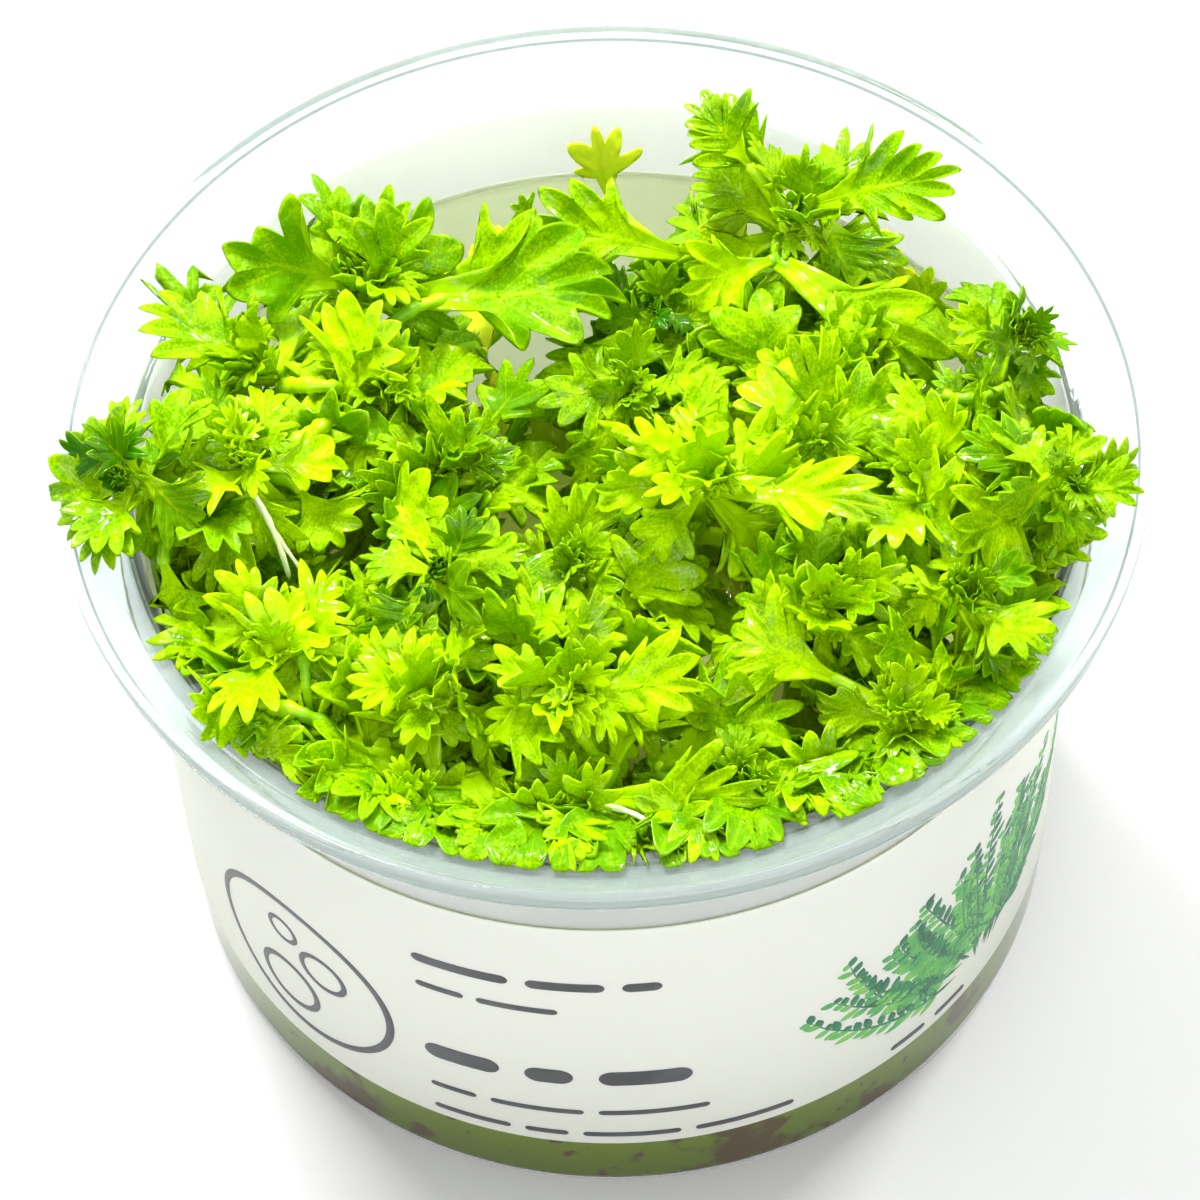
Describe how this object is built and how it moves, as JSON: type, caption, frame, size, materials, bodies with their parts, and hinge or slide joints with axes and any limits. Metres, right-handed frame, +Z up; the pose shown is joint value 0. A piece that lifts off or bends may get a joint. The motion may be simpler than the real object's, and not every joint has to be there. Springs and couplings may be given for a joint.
{
  "type": "tissue culture water violet",
  "caption": "Water violet grown in tissue culture: leafy shoots standing in olive gel in a clear round cup with a flared rim and a white wrap-round label.",
  "frame": {"origin": "centre of the cup's flat underside", "axes": "+Z up along the cup's axis; -Y is the front, where the label's printing faces the viewer; +X is to the right"},
  "size_m": [0.1, 0.1, 0.0775],
  "materials": {
    "clear_plastic": "clear moulded plastic, faintly grey-green at its edges",
    "label_film": null,
    "gel": "set growing gel, olive and slightly cloudy",
    "stem": "living stem, pale yellow-green and juicy",
    "leaf": "living leaf, lime green and wet"
  },
  "bodies": {
    "root": {"cup": "clear_plastic", "label": "label_film", "gel": "gel", "stem_01": "stem", "stem_02": "stem", "stem_03": "stem", "stem_04": "stem", "stem_05": "stem", "stem_06": "stem", "stem_07": "stem", "stem_08": "stem", "stem_09": "stem", "stem_10": "stem", "stem_11": "stem", "stem_12": "stem", "stem_13": "stem", "stem_14": "stem", "stem_15": "stem", "stem_16": "stem", "stem_17": "stem", "stem_18": "stem", "stem_19": "stem", "stem_20": "stem", "stem_21": "stem", "stem_22": "stem", "stem_23": "stem", "stem_24": "stem", "stem_25": "stem", "stem_26": "stem", "tall_leaf_left": "leaf", "tall_leaf_right": "leaf", "folded_leaf": "leaf", "long_leaf": "leaf", "top_leaf": "leaf", "whorl_01": "leaf", "whorl_02": "leaf", "whorl_03": "leaf", "whorl_04": "leaf", "whorl_05": "leaf", "whorl_06": "leaf", "whorl_07": "leaf", "whorl_08": "leaf", "whorl_09": "leaf", "whorl_10": "leaf", "whorl_11": "leaf", "whorl_12": "leaf", "whorl_13": "leaf", "whorl_14": "leaf", "whorl_15": "leaf", "whorl_16": "leaf", "whorl_17": "leaf", "whorl_18": "leaf", "whorl_19": "leaf", "whorl_20": "leaf", "whorl_21": "leaf", "whorl_22": "leaf", "whorl_23": "leaf", "whorl_24": "leaf", "whorl_25": "leaf", "whorl_26": "leaf"}
  },
  "joints": []
}
